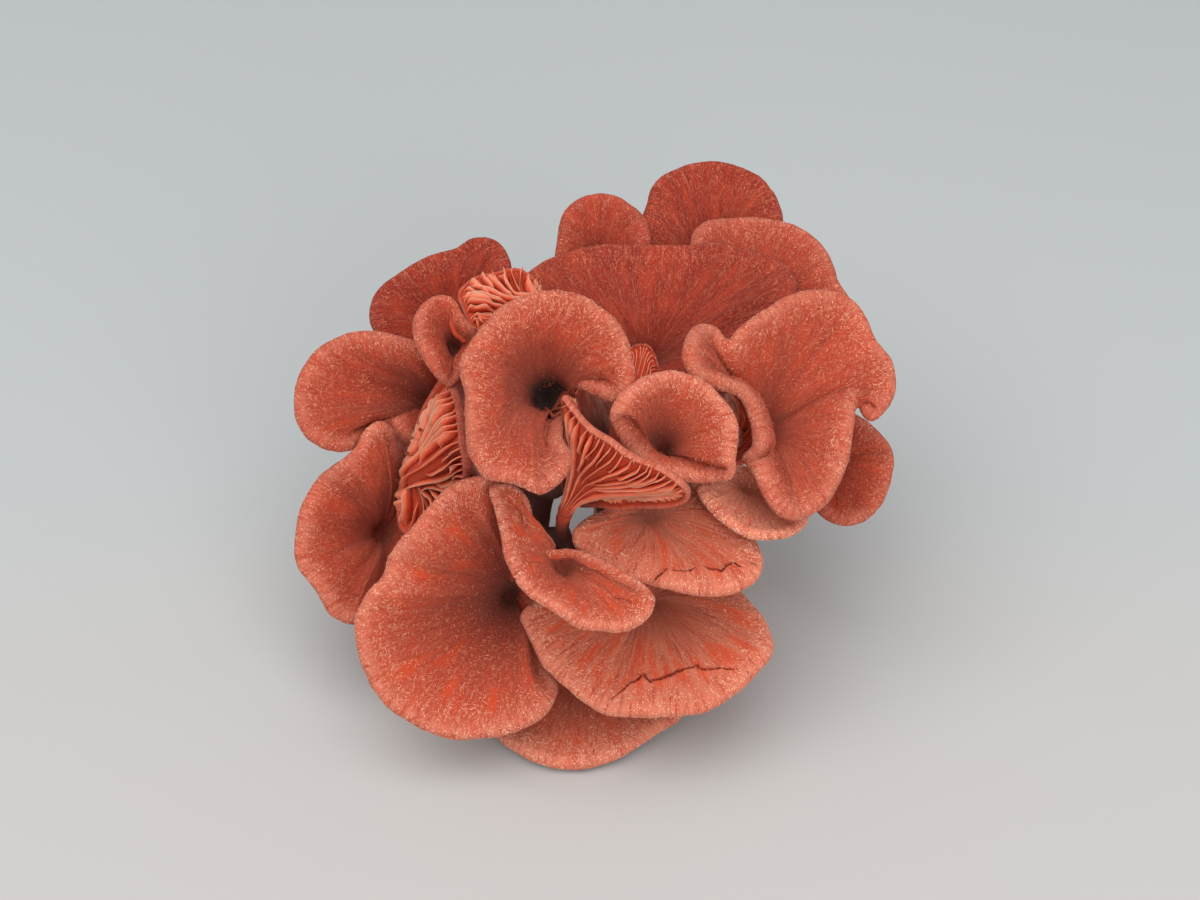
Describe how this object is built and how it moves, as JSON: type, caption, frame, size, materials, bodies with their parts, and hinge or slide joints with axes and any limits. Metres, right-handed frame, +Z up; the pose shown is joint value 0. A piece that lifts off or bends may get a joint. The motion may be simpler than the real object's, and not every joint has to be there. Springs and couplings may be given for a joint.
{
  "type": "pink oyster mushroom cluster",
  "caption": "Picked cluster of pink oyster mushrooms: velvety funnel, ear and fan caps with gills, on stems grown together and cut off flat.",
  "frame": {"origin": "middle of the flat cut under the stem clump, on the surface that the cluster stands on", "axes": "+Z up out of the cut, +X to the right and +Y away as seen from the side that the large ear-shaped cap faces"},
  "size_m": [0.1507, 0.1392, 0.1044],
  "materials": {
    "cap_flesh": "matte coral-pink flesh with pale velvety fuzz and brighter orange gills",
    "stem_flesh": "matte pale pink fibrous flesh"
  },
  "bodies": {
    "root": {"cap_front_ear": "cap_flesh", "cap_top_fan": "cap_flesh", "cap_top_dome": "cap_flesh", "cap_small_dome": "cap_flesh", "cap_back_right": "cap_flesh", "cap_right_funnel": "cap_flesh", "cap_right_back": "cap_flesh", "cap_small_funnel": "cap_flesh", "cap_centre_gills": "cap_flesh", "cap_between": "cap_flesh", "cap_small_strap": "cap_flesh", "cap_middle_fan": "cap_flesh", "cap_lower_fan": "cap_flesh", "cap_front_curl": "cap_flesh", "cap_left_funnel": "cap_flesh", "cap_bottom": "cap_flesh", "cap_left_lower": "cap_flesh", "cap_left_upper": "cap_flesh", "cap_top_left": "cap_flesh", "cap_small_ear": "cap_flesh", "cap_ruffled_gills": "cap_flesh", "cap_left_gills": "cap_flesh", "stem_clump": "stem_flesh", "stem_front_ear": "stem_flesh", "stem_top_fan": "stem_flesh", "stem_top_dome": "stem_flesh", "stem_right_funnel": "stem_flesh", "stem_small_funnel": "stem_flesh", "stem_centre_gills": "stem_flesh", "stem_small_strap": "stem_flesh", "stem_lower_fan": "stem_flesh", "stem_bottom": "stem_flesh"}
  },
  "joints": []
}
